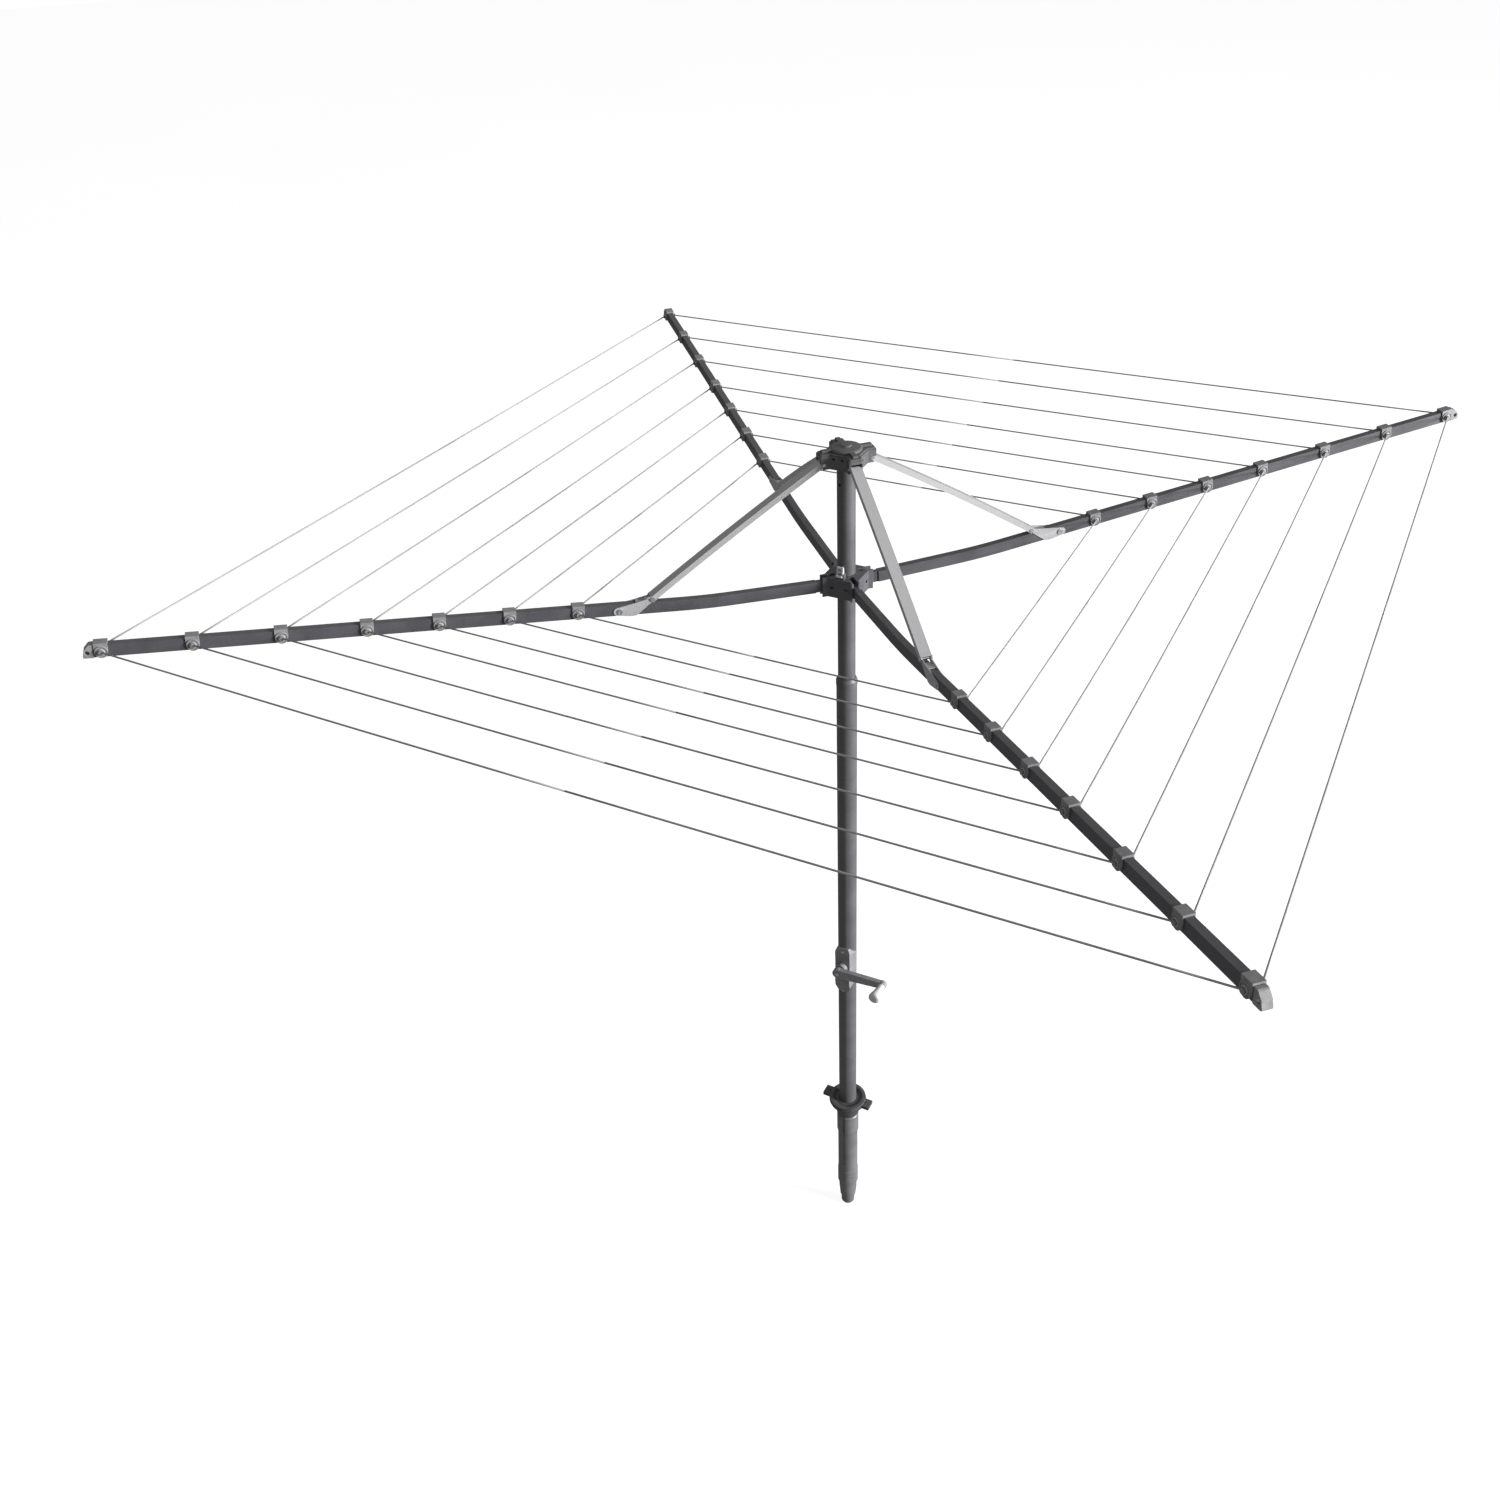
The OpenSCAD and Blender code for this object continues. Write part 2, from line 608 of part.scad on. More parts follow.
// The arm seen from its side: straight, gently bent, then straight
module arm_outline(high, from, to) {
    low = -high / 2;
    polygon(concat([[from, low]],
        [for (k = [0:bend_steps]) bend_point(k / bend_steps, low)],
        [outer_point(to, low), outer_point(to, -low)],
        [for (k = [bend_steps:-1:0]) bend_point(k / bend_steps, -low)],
        [[from, -low]]));
}

// Stands its children at the arm's root, +X along the arm
module at_root() translate([runner_pivot_r, 0, runner_pivot_z]) rotate([0, -inner_slope, 0])
    children();

module arm() color("darkslategray") difference() {
    at_root() {
        difference() {
            plate(-arm_w / 2, arm_w / 2) arm_outline(arm_h, neck_u, outer_len);
            plate(arm_wall - arm_w / 2, arm_w / 2 - arm_wall)
                arm_outline(arm_h - 2 * arm_wall, neck_u + 36, outer_len + over);
        }
        // the root: a tongue that stands in the runner's slot
        plate(-tongue_w / 2, tongue_w / 2) {
            circle(r = arm_h / 2);
            translate([0, -arm_h / 2]) square([neck_u + over, arm_h]);
        }
    }
    cross_bar(runner_pivot_r, runner_pivot_z, pin_r + fit, arm_w);
    cross_bar(rivet_at, arm_z(rivet_at) - 3, rivet_r + fit, arm_w);
}

// Stands its children on the arm's centre line at radius r, +X along the arm
module along(r) translate([r, 0, arm_z(r)]) rotate([0, -outer_slope, 0]) children();

module tip_cap() color("gray") along(arm_end_r) {
    half = arm_h / 2 + 1;
    plate(-arm_w / 2 - 1, arm_w / 2 + 1) difference() {
        polygon([[0.1, -half], [cap_len - 4, -half], [cap_len - 0.5, 1 - half],
            [cap_len, 4 - half], [cap_len - 3, half - 13], [cap_len - 12, half - 2],
            [cap_len - 15, half], [0.1, half]]);
        translate([cap_len - 10, -eye_drop]) circle(r = eye_r);
    }
    // the plug inside the arm
    translate([-24, -arm_w / 2 + arm_wall + 0.1, -arm_h / 2 + arm_wall + 0.1])
        cube([25, arm_w - 2 * arm_wall - 0.2, arm_h - 2 * arm_wall - 0.2]);
}

// A saddle over the arm with a round cheek and a peg each side that the line is wound on
module clip(long) difference() {
    union() {
        translate([-long / 2, -arm_w / 2 - clip_wall, 0])
            cube([long, arm_w + 2 * clip_wall, arm_h / 2 + clip_rise]);
        for (side = [-1, 1]) translate([0, side * (arm_w / 2 + 0.3), -1]) rotate([-90 * side, 0, 0]) {
            cylinder(r = cheek_r, h = clip_wall + 1.7);
            cylinder(r = 4.5, h = boss_end - arm_w / 2 + 1);
            translate([0, 0, boss_end - arm_w / 2]) cylinder(r = 6, h = 2);
        }
    }
    translate([-long, -arm_w / 2 - 0.15, -arm_h])
        cube([2 * long, arm_w + 0.3, arm_h * 1.5 + 0.15]);
    // the cheeks' dished faces
    for (side = [-1, 1]) translate([0, side * (arm_w / 2 + clip_wall + 1), -1])
        rotate([-90 * side, 0, 0]) difference() {
            cylinder(r = cheek_r - 2.5, h = 5);
            cylinder(r = 4.5, h = 5);
        }
}

module line_clips() color("gray") for (k = [0:6]) along(clip_r(k)) clip(clip_len);

// Half of every span that ends on this arm; the other half is the next arm's
module lines() color("silver") for (k = [0:6], side = [-1, 1]) {
    start = boss_end - 1;
    run = (clip_r(k) - start) / sqrt(2) - slip / 2;
    translate([clip_r(k), side * start, arm_z(clip_r(k))]) rotate([0, 0, side * 135])
        rotate([0, 90, 0]) cylinder(r = line_d / 2, h = run, $fn = 16);
}

// ---------------------------------------------------------------- struts

// The shoe's cheek in radius and height: hinge end, drop to the arm's underside, rivet end
module cheek_outline() {
    low = arm_z(rivet_at - 34) - arm_h / 2 - 2;
    difference() {
        union() {
            translate([shoe_pivot_r, shoe_pivot_z]) circle(r = 5);
            polygon([[shoe_pivot_r - 3, shoe_pivot_z - 3.5], [rivet_at - 40, low],
                [rivet_at - 26, low], [rivet_at + 6, arm_z(rivet_at) - 13],
                [rivet_at + 4, arm_z(rivet_at) + 8],
                [shoe_pivot_r + 42, arm_z(shoe_pivot_r + 42) + arm_h / 2 + 3],
                [shoe_pivot_r + 4, shoe_pivot_z + 2.5]]);
            translate([rivet_at + 5, arm_z(rivet_at) - 2.5]) circle(r = 10.5);
        }
        translate([shoe_pivot_r, shoe_pivot_z]) circle(r = hinge_r);
        translate([rivet_at, arm_z(rivet_at) - 3]) circle(r = rivet_r);
    }
}

module strut_shoe() color("lightgray") {
    plates(shoe_in, shoe_in + shoe_t) cheek_outline();
    // the bridge over the arm that joins the two cheeks
    plate(-shoe_in - 0.01, shoe_in + 0.01) polygon([
        [shoe_pivot_r + 10, arm_z(shoe_pivot_r + 10) + arm_h / 2 + 1.5],
        [shoe_pivot_r + 40, arm_z(shoe_pivot_r + 40) + arm_h / 2 + 1],
        [shoe_pivot_r + 40, arm_z(shoe_pivot_r + 40) + arm_h / 2 + 3],
        [shoe_pivot_r + 10, arm_z(shoe_pivot_r + 10) + arm_h / 2 + 3.5]]);
}

module shoe_pins() color("silver") {
    cross_bar(rivet_at, arm_z(rivet_at) - 3, rivet_r, shoe_in + shoe_t);
    for (side = [-1, 1]) translate([rivet_at, side * (shoe_in + shoe_t), arm_z(rivet_at) - 3])
        rotate([-90 * side, 0, 0]) difference() {
            cylinder(r = 7, h = 2.4);
            translate([0, 0, 1.6]) cylinder(r = 3, h = 2);
        }
    cross_bar(shoe_pivot_r, shoe_pivot_z, hinge_r, strut_out + 0.3);
    for (side = [-1, 1]) translate([shoe_pivot_r, side * (strut_out + 0.3), shoe_pivot_z])
        rotate([-90 * side, 0, 0]) cylinder(r = 5.5, h = 1.6);
}

// The bowed strut seen from its side, between two heights off its centre line
module strut_outline(low, high) {
    function bow_point(turn, up) = [strut_len / 2 + (bow_r + up) * sin(turn),
        (bow_r + up) * cos(turn) - bow_r * cos(bow)];
    steps = [-bow_steps / 2:bow_steps / 2];
    polygon(concat([for (k = steps) bow_point(2 * k * bow / bow_steps, low)],
        [for (k = steps) bow_point(-2 * k * bow / bow_steps, high)]));
}

module strut() color("silver") translate([hub_pivot_r, 0, hub_pivot_z]) rotate([0, strut_drop, 0]) {
    plates(strut_in, strut_out) difference() {
        union() {
            strut_outline(-strut_h / 2, strut_h / 2);
            for (x = [0, strut_len]) translate([x, 0]) circle(r = strut_h / 2 + 0.5);
        }
        circle(r = pin_r);
        translate([strut_len, 0]) circle(r = hinge_r + fit);
    }
    // the web over the open channel
    plate(-strut_in - strut_wall / 2, strut_in + strut_wall / 2)
        strut_outline(strut_h / 2 - strut_wall, strut_h / 2 - 0.1);
}

module strut_pin() color("silver") cross_bar(hub_pivot_r, hub_pivot_z, pin_r, hub_lug - 0.2);

// ---------------------------------------------------------------- the whole

ground_socket();
socket_collar();
socket_plug();
locking_ring();
mast_tube();
mast_top_bush();
winder_housing();
winder_cover();
winder_screws();
screw_bearing();
crank_shaft();
bevel_pinion();
crank_arm();
crank_bolt();
crank_knob();
crown_gear();
lead_screw();
lift_nut();
tube_foot();
head_tube();
top_hub();
hub_cap();
hub_screws();
runner();
latch_lever();
latch_pin();
latch_spring();
arm_pins();
for (n = [1:4]) {
    on_arm(n) arm();
    on_arm(n) tip_cap();
    on_arm(n) line_clips();
    on_arm(n) lines();
    on_arm(n) strut_shoe();
    on_arm(n) shoe_pins();
    on_arm(n) strut();
    on_arm(n) strut_pin();
}
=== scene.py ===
# %% [markdown]
# # Rotary clothesline
# This file dresses a rotary clothesline for a picture and for a 3-D viewer. The solid parts come
# from the CAD frame, one object for each node, and they keep their shapes. The cells below give
# every part a procedural material, and they build the pieces that CAD leaves plain: the line.

# %% Frame
import math

import bmesh
import bpy
import numpy as np
from mathutils import Matrix, Vector


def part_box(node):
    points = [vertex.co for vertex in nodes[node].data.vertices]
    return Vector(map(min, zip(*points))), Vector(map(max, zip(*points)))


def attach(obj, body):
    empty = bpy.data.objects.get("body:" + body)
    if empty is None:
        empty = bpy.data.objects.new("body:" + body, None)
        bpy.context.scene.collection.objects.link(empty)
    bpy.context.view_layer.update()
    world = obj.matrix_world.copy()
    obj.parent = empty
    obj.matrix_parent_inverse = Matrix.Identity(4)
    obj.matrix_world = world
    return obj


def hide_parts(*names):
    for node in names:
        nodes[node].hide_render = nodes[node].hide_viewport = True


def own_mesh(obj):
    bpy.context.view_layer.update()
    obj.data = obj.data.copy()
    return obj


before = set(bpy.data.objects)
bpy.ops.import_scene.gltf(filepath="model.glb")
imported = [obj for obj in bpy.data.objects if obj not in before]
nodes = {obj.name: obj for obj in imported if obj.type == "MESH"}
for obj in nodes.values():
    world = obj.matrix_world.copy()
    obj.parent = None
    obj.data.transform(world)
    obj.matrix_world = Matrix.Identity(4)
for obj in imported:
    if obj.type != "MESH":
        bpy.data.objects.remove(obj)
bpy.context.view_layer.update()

# %% [markdown]
# ## Directions
# Everything on this object repeats four times round the mast, so a piece is made once for the
# arm along +X and turned a quarter turn for each other arm. Two unit vectors for each arm, one
# along it and one across it, are all that the turning needs.

# %% Directions
ARMS = (1, 2, 3, 4)


def arm_direction(arm):
    """A unit vector along an arm: arm 1 is +X, and each next one is a quarter turn further."""
    turn = math.pi / 2 * (arm - 1)
    return np.array([round(math.cos(turn)), round(math.sin(turn)), 0.0])


def across(arm):
    """A unit vector across an arm, to its left as seen from the mast."""
    along = arm_direction(arm)
    return np.array([-along[1], along[0], 0.0])


print("arms point", [arm_direction(arm).tolist() for arm in ARMS])

# %% [markdown]
# ## Surface effects shared by the materials
# Real coatings are never one flat colour. Three effects do most of the work, and each is a node
# group, so that every material can place it with its own values:
# - *edge wear* finds sharp edges by comparing the true normal with a rounded one, and it hands
#   on the rounded normal, so that moulded and painted edges catch the light softly;
# - *grain* is the fine bump and mottling of moulded plastic or of powder coat;
# - *dust* is the pale film that settles on faces that look up.
# A group gives out only values and normals. The shader itself stays in the material.


# %% Node helpers
def link(tree, source, target):
    """Joins an output socket to an input socket."""
    tree.links.new(source, target)


def node(tree, kind, **inputs):
    """Adds a node and sets its named inputs."""
    made = tree.nodes.new(kind)
    for name, value in inputs.items():
        made.inputs[name.replace("_", " ")].default_value = value
    return made


def math_node(tree, operation, first, second, clamp=False):
    """Adds a Math node. Each operand is a number or an output socket."""
    made = tree.nodes.new("ShaderNodeMath")
    made.operation = operation
    made.use_clamp = clamp
    for socket, value in zip(made.inputs, (first, second)):
        if isinstance(value, bpy.types.NodeSocket):
            link(tree, value, socket)
        else:
            socket.default_value = value
    return made.outputs[0]


def new_group(name, inputs, outputs):
    """Makes a node group with float or colour sockets, and returns its tree and its two ends."""
    group = bpy.data.node_groups.new(name, "ShaderNodeTree")
    kinds = {"value": "NodeSocketFloat", "colour": "NodeSocketColor", "vector": "NodeSocketVector"}
    for title, kind, start in inputs:
        socket = group.interface.new_socket(title, in_out="INPUT", socket_type=kinds[kind])
        if start is not None:
            socket.default_value = start
    for title, kind in outputs:
        group.interface.new_socket(title, in_out="OUTPUT", socket_type=kinds[kind])
    return group, group.nodes.new("NodeGroupInput"), group.nodes.new("NodeGroupOutput")


# %% Edge wear group
WEAR_GAIN = 6.0


def edge_wear_group():
    """Wear = how far a rounded normal leans from the true one, broken up by noise.

    Normal = the rounded normal itself.
    """
    group, ends_in, ends_out = new_group(
        "edge wear",
        [("Radius", "value", 0.002), ("Breakup", "value", 60.0), ("Amount", "value", 1.0)],
        [("Wear", "value"), ("Normal", "vector")],
    )
    rounded = group.nodes.new("ShaderNodeBevel")
    rounded.samples = 4
    link(group, ends_in.outputs["Radius"], rounded.inputs["Radius"])
    link(group, rounded.outputs["Normal"], ends_out.inputs["Normal"])
    true = group.nodes.new("ShaderNodeNewGeometry")
    lean = group.nodes.new("ShaderNodeVectorMath")
    lean.operation = "DOT_PRODUCT"
    link(group, rounded.outputs["Normal"], lean.inputs[0])
    link(group, true.outputs["True Normal"], lean.inputs[1])
    away = math_node(group, "SUBTRACT", 1.0, lean.outputs["Value"])
    place = group.nodes.new("ShaderNodeTexCoord")
    noise = node(group, "ShaderNodeTexNoise", Detail=3.0, Roughness=0.6)
    link(group, place.outputs["Object"], noise.inputs["Vector"])
    link(group, ends_in.outputs["Breakup"], noise.inputs["Scale"])
    patches = math_node(group, "MULTIPLY", noise.outputs["Fac"], WEAR_GAIN)
    patchy = math_node(group, "MULTIPLY", away, patches)
    link(group, math_node(group, "MULTIPLY", patchy, ends_in.outputs["Amount"], clamp=True),
         ends_out.inputs["Wear"])
    return group


# %% Grain group
def grain_group():
    """Mottle = slow noise from 0 to 1; Height = fine noise for a bump; both on Object coordinates."""
    group, ends_in, ends_out = new_group(
        "grain",
        [("Fine scale", "value", 900.0), ("Mottle scale", "value", 14.0)],
        [("Height", "value"), ("Mottle", "value")],
    )
    place = group.nodes.new("ShaderNodeTexCoord")
    fine = node(group, "ShaderNodeTexNoise", Detail=4.0, Roughness=0.55)
    slow = node(group, "ShaderNodeTexNoise", Detail=5.0, Roughness=0.6)
    for noise, scale in ((fine, "Fine scale"), (slow, "Mottle scale")):
        link(group, place.outputs["Object"], noise.inputs["Vector"])
        link(group, ends_in.outputs[scale], noise.inputs["Scale"])
    spread = node(group, "ShaderNodeMapRange")
    spread.inputs["From Min"].default_value = 0.35
    spread.inputs["From Max"].default_value = 0.65
    link(group, slow.outputs["Fac"], spread.inputs["Value"])
    link(group, fine.outputs["Fac"], ends_out.inputs["Height"])
    link(group, spread.outputs["Result"], ends_out.inputs["Mottle"])
    return group


# %% Dust group
def dust_group():
    """Dust = how far a face looks up, times a cloudy noise."""
    group, ends_in, ends_out = new_group("dust", [("Amount", "value", 0.3)], [("Dust", "value")])
    geometry = group.nodes.new("ShaderNodeNewGeometry")
    upward = group.nodes.new("ShaderNodeSeparateXYZ")
    link(group, geometry.outputs["Normal"], upward.inputs[0])
    place = group.nodes.new("ShaderNodeTexCoord")
    cloud = node(group, "ShaderNodeTexNoise", Scale=35.0, Detail=6.0, Roughness=0.7)
    link(group, place.outputs["Object"], cloud.inputs["Vector"])
    facing = math_node(group, "MULTIPLY", upward.outputs["Z"], cloud.outputs["Fac"], clamp=True)
    link(group, math_node(group, "MULTIPLY", facing, ends_in.outputs["Amount"], clamp=True),
         ends_out.inputs["Dust"])
    return group


EDGE_WEAR = edge_wear_group()
GRAIN = grain_group()
DUST = dust_group()
print("groups:", EDGE_WEAR.name, GRAIN.name, DUST.name)


# %% Coating material
def place_group(tree, group, **inputs):
    """Places a node group in a material and sets its inputs."""
    made = tree.nodes.new("ShaderNodeGroup")
    made.node_tree = group
    for name, value in inputs.items():
        made.inputs[name.replace("_", " ")].default_value = value
    return made


def mix_colour(tree, share, first, second):
    """Mixes two colours by a share that varies over the surface."""
    made = tree.nodes.new("ShaderNodeMix")
    made.data_type = "RGBA"
    link(tree, share, made.inputs["Factor"])
    for name, value in (("A", first), ("B", second)):
        socket = [s for s in made.inputs if s.name == name and s.type == "RGBA"][0]
        if isinstance(value, bpy.types.NodeSocket):
            link(tree, value, socket)
        else:
            socket.default_value = (*value, 1.0)
    return [s for s in made.outputs if s.type == "RGBA"][0]


DUST_TONE = (0.42, 0.41, 0.39)
WORN_EDGE = 0.0015


def coating(name, dark, light, worn, roughness, grain=900.0, bump=0.05, wear=0.5, dust=0.15,
            mottle=14.0, coat=0.0):
    """A coated or moulded surface: two close tones mottled together, worn edges, and some dust.

    dark and light are the two tones, worn is the tone that shows along the edges, bump is the
    depth of the grain in millimetres, and roughness varies by a tenth either way.
    """
    material = bpy.data.materials.new(name)
    material.use_nodes = True
    tree = material.node_tree
    shader = tree.nodes["Principled BSDF"]
    fine = place_group(tree, GRAIN, Fine_scale=grain, Mottle_scale=mottle)
    edges = place_group(tree, EDGE_WEAR, Radius=WORN_EDGE, Amount=wear)
    film = place_group(tree, DUST, Amount=dust)
    tone = mix_colour(tree, fine.outputs["Mottle"], dark, light)
    tone = mix_colour(tree, edges.outputs["Wear"], tone, worn)
    tone = mix_colour(tree, film.outputs["Dust"], tone, DUST_TONE)
    link(tree, tone, shader.inputs["Base Color"])
    rough = math_node(tree, "MULTIPLY_ADD", fine.outputs["Mottle"], 0.12)
    rough.node.inputs[2].default_value = roughness - 0.06
    link(tree, rough, shader.inputs["Roughness"])
    raised = tree.nodes.new("ShaderNodeBump")
    raised.inputs["Strength"].default_value = 0.35
    raised.inputs["Distance"].default_value = bump / 1000
    link(tree, fine.outputs["Height"], raised.inputs["Height"])
    link(tree, edges.outputs["Normal"], raised.inputs["Normal"])
    link(tree, raised.outputs["Normal"], shader.inputs["Normal"])
    shader.inputs["Coat Weight"].default_value = coat
    shader.inputs["Coat Roughness"].default_value = 0.25
    return material


# %% [markdown]
# ## Finishes
# The mast and the arms are powder-coated charcoal, a paint with a very fine orange peel and a
# low sheen. Hubs, bushes and the winder's housing are a darker plastic with a moulded grain.
# The struts and shoes are clear anodised, so they are metallic and streaked along their length.
# Clips, caps, crank and socket are greys of the same moulded plastic in different tones.

# %% Coated and moulded finishes
MAST_COAT = coating("charcoal powder coat", (0.086, 0.086, 0.092), (0.106, 0.106, 0.112),
                    (0.16, 0.16, 0.165), 0.48, grain=1400.0, bump=0.04, wear=0.25, coat=0.1)
ARM_COAT = coating("arm powder coat", (0.060, 0.060, 0.068), (0.078, 0.078, 0.088),
                   (0.12, 0.12, 0.125), 0.5, grain=1400.0, bump=0.04, wear=0.3, coat=0.1)
HUB_PLASTIC = coating("hub plastic", (0.085, 0.085, 0.088), (0.115, 0.115, 0.119),
                      (0.24, 0.24, 0.245), 0.5, grain=700.0, bump=0.08, wear=0.6, mottle=30.0)
RUNNER_PLASTIC = coating("runner plastic", (0.080, 0.079, 0.090), (0.110, 0.109, 0.122),
                         (0.24, 0.24, 0.25), 0.5, grain=700.0, bump=0.08, wear=0.6, mottle=30.0)
HOUSING_PLASTIC = coating("winder housing plastic", (0.19, 0.19, 0.198), (0.24, 0.24, 0.25),
                          (0.36, 0.36, 0.37), 0.45, grain=800.0, bump=0.06, wear=0.5, mottle=30.0)
CRANK_PAINT = coating("crank satin paint", (0.22, 0.22, 0.232), (0.28, 0.28, 0.292),
                      (0.45, 0.45, 0.46), 0.4, grain=900.0, bump=0.05, wear=0.6, mottle=40.0)
KNOB_PLASTIC = coating("knob plastic", (0.54, 0.54, 0.55), (0.64, 0.64, 0.65),
                       (0.7, 0.7, 0.7), 0.42, grain=700.0, bump=0.06, wear=0.4, mottle=50.0)
CLIP_PLASTIC = coating("clip plastic", (0.20, 0.20, 0.208), (0.27, 0.27, 0.28),
                       (0.40, 0.40, 0.41), 0.42, grain=900.0, bump=0.06, wear=0.7, mottle=60.0)
CAP_PLASTIC = coating("end cap plastic", (0.22, 0.22, 0.228), (0.29, 0.29, 0.298),
                      (0.5, 0.5, 0.51), 0.42, grain=900.0, bump=0.06, wear=0.7, mottle=60.0)
LATCH_PLASTIC = coating("latch plastic", (0.58, 0.58, 0.59), (0.70, 0.70, 0.71),
                        (0.8, 0.8, 0.8), 0.4, grain=900.0, bump=0.05, wear=0.6, mottle=60.0)
SOCKET_PLASTIC = coating("socket plastic", (0.125, 0.125, 0.132), (0.165, 0.165, 0.172),
                         (0.30, 0.30, 0.31), 0.46, grain=700.0, bump=0.07, wear=0.5, mottle=20.0)
RING_PLASTIC = coating("locking ring plastic", (0.044, 0.044, 0.048), (0.062, 0.062, 0.067),
                       (0.15, 0.15, 0.155), 0.5, grain=700.0, bump=0.08, wear=0.6, mottle=30.0)
BLACK_PLASTIC = coating("black plastic", (0.016, 0.016, 0.017), (0.025, 0.025, 0.027),
                        (0.08, 0.08, 0.08), 0.5, grain=700.0, bump=0.06, wear=0.4, mottle=30.0)
print("coated finishes:", len(bpy.data.materials))


# %% Metal finishes
def streaked_metal(name, dark, light, roughness, stretch, scale=9.0, metallic=0.85, wear=0.5):
    """Metal drawn or rolled one way: a noise stretched along that way tints it and bumps it.

    stretch is how much the noise is squeezed along X, Y and Z: a small number draws it out.
    """
    material = bpy.data.materials.new(name)
    material.use_nodes = True
    tree = material.node_tree
    shader = tree.nodes["Principled BSDF"]
    place = tree.nodes.new("ShaderNodeTexCoord")
    drawn = tree.nodes.new("ShaderNodeMapping")
    drawn.inputs["Scale"].default_value = stretch
    link(tree, place.outputs["Object"], drawn.inputs["Vector"])
    streaks = node(tree, "ShaderNodeTexNoise", Scale=scale, Detail=6.0, Roughness=0.65)
    link(tree, drawn.outputs["Vector"], streaks.inputs["Vector"])
    edges = place_group(tree, EDGE_WEAR, Radius=0.001, Amount=wear)
    tone = mix_colour(tree, streaks.outputs["Fac"], dark, light)
    tone = mix_colour(tree, edges.outputs["Wear"], tone, (0.82, 0.82, 0.83))
    link(tree, tone, shader.inputs["Base Color"])
    rough = math_node(tree, "MULTIPLY_ADD", streaks.outputs["Fac"], 0.2)
    rough.node.inputs[2].default_value = roughness - 0.1
    link(tree, rough, shader.inputs["Roughness"])
    raised = tree.nodes.new("ShaderNodeBump")
    raised.inputs["Strength"].default_value = 0.15
    raised.inputs["Distance"].default_value = 0.00005
    link(tree, streaks.outputs["Fac"], raised.inputs["Height"])
    link(tree, raised.outputs["Normal"], shader.inputs["Normal"])
    shader.inputs["Metallic"].default_value = metallic
    return material


STRUT_ANODISED_X = streaked_metal("anodised strut along x", (0.40, 0.40, 0.41), (0.54, 0.54, 0.55),
                                  0.45, (3.0, 90.0, 60.0), metallic=0.3)
STRUT_ANODISED_Y = streaked_metal("anodised strut along y", (0.40, 0.40, 0.41), (0.54, 0.54, 0.55),
                                  0.45, (90.0, 3.0, 60.0), metallic=0.3)
ZINC = streaked_metal("zinc-plated steel", (0.55, 0.56, 0.58), (0.72, 0.72, 0.74),
                      0.3, (60.0, 60.0, 60.0), scale=6.0, metallic=1.0)
BRASS = streaked_metal("machined brass", (0.55, 0.40, 0.18), (0.75, 0.58, 0.30),
                       0.35, (40.0, 40.0, 200.0), scale=6.0, metallic=1.0)
print("metal finishes: 4")

# %% [markdown]
# ## Dressing the CAD parts
# Each CAD node keeps its shape and gets its finish in its material slots. A part's name says
# what it is, so the table below goes by the start of the name. Struts along X and along Y take
# a finish whose streaks run their own way.

# %% Finishes by part
FINISH = {
    "ground_socket": SOCKET_PLASTIC, "socket_collar": RING_PLASTIC, "socket_plug": BLACK_PLASTIC,
    "locking_ring": RING_PLASTIC, "mast_tube": MAST_COAT, "mast_top_bush": RUNNER_PLASTIC,
    "winder_housing": HOUSING_PLASTIC, "winder_cover": HOUSING_PLASTIC, "winder_screws": ZINC,
    "screw_bearing": ZINC, "crank_shaft": ZINC, "bevel_pinion": BRASS, "crank_arm": CRANK_PAINT,
    "crank_bolt": ZINC, "crank_knob": KNOB_PLASTIC, "crown_gear": BRASS, "lead_screw": ZINC,
    "lift_nut": BRASS, "tube_foot": BLACK_PLASTIC, "head_tube": MAST_COAT, "top_hub": HUB_PLASTIC,
    "hub_cap": HUB_PLASTIC, "hub_screws": BLACK_PLASTIC, "runner": RUNNER_PLASTIC,
    "latch_lever": LATCH_PLASTIC, "latch_pin": ZINC, "latch_spring": ZINC, "arm_pins": ZINC,
    "arm_": ARM_COAT, "tip_cap_": CAP_PLASTIC, "line_clips_": CLIP_PLASTIC, "shoe_pins_": ZINC,
    "strut_pin_": ZINC,
}
for arm in ARMS:
    anodised = STRUT_ANODISED_X if arm % 2 else STRUT_ANODISED_Y
    FINISH[f"strut_{arm}"] = anodised
    FINISH[f"strut_shoe_{arm}"] = anodised


def finish_of(name):
    """The finish for a node: its own name first, then its name without the arm's number."""
    return FINISH.get(name) or FINISH.get(name.rstrip("1234"))


for name, part in nodes.items():
    finish = finish_of(name)
    if finish is None:
        continue
    part.data.materials.clear()
    part.data.materials.append(finish)
print("dressed:", sum(finish_of(name) is not None for name in nodes), "of", len(nodes), "nodes")

# %% [markdown]
# ## The line
# The line is a plastic-coated cord about four millimetres thick, wound round the clips and
# pulled tight, so that each span is close to straight. A tube swept along each half-span is
# enough, with a slight sag and the fine spiral of a twisted core under the coating. Each half
# rides on its own arm, and when the arm comes down it gathers beside the arm, on its own side.


# %% Clips and half-spans
LINE_RADIUS = 0.002
PEG_RADIUS = 0.0045
OUTER_GAP, INNER_GAP = 0.18566, 0.16144
OUTER_RINGS = 3
RINGS = 7
SAG = 0.004
STEPS = np.linspace(0.0, 1.0, 9)[:, None]
PEG_SETBACK = 0.0035    # how far inside the peg's end the first turn starts
PEG_ADVANCE = 0.0032    # how far the two turns travel along the peg
PEG_DROP = 0.001        # how far the peg's middle lies below the line

